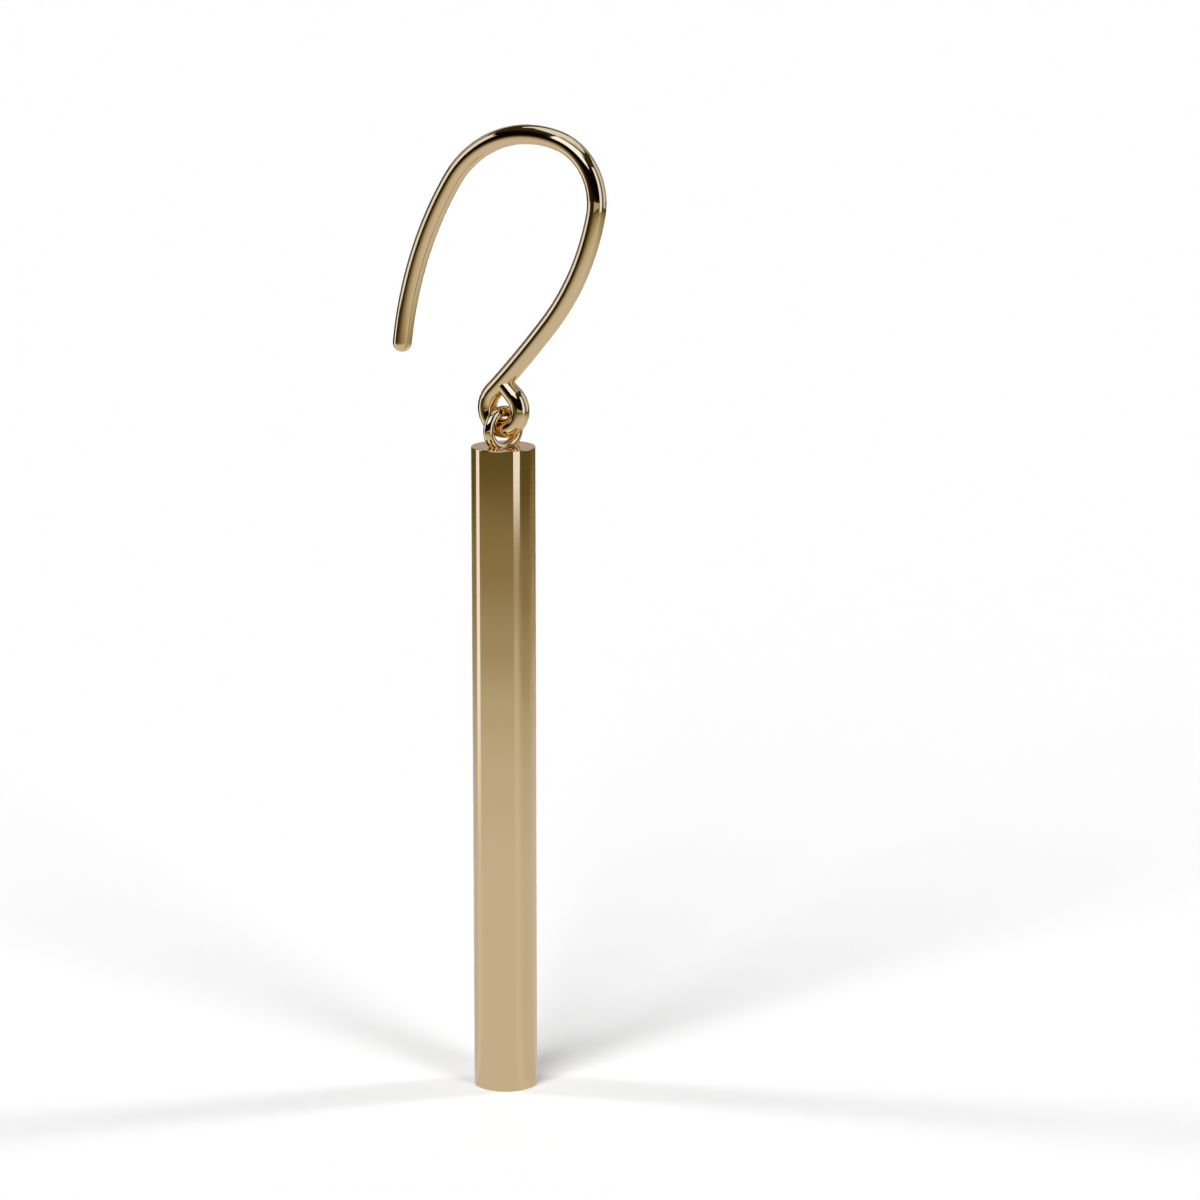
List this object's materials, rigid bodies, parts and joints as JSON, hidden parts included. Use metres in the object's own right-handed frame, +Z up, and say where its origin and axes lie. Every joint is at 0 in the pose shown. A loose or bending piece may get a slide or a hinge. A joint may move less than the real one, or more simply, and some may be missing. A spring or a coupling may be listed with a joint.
{
  "type": "bar drop earring",
  "caption": "Drop earring: an open ear hook of round wire with a closed eye, and a slim round bar with flat ends that swings from it by a small ring.",
  "frame": {"origin": "middle of the wire at the top of the hook's crown, where it rests in the pierced ear lobe", "axes": "+Z up, against the way the bar hangs; +X in the hook's plane, from its free tail towards its front bend; +Y square to that plane"},
  "size_m": [0.0117, 0.003, 0.046],
  "materials": {
    "gold_plate": "polished"
  },
  "bodies": {
    "hook": {"ear_hook": "gold_plate"},
    "drop": {"bar_drop": "gold_plate"}
  },
  "joints": [
    {"name": "drop_swing", "type": "hinge", "parent": "hook", "child": "drop", "pos_m": [-0.00164, 0, -0.0138], "axis": [0.9511, -0.309, 0], "range_deg": [-90, 90]}
  ]
}
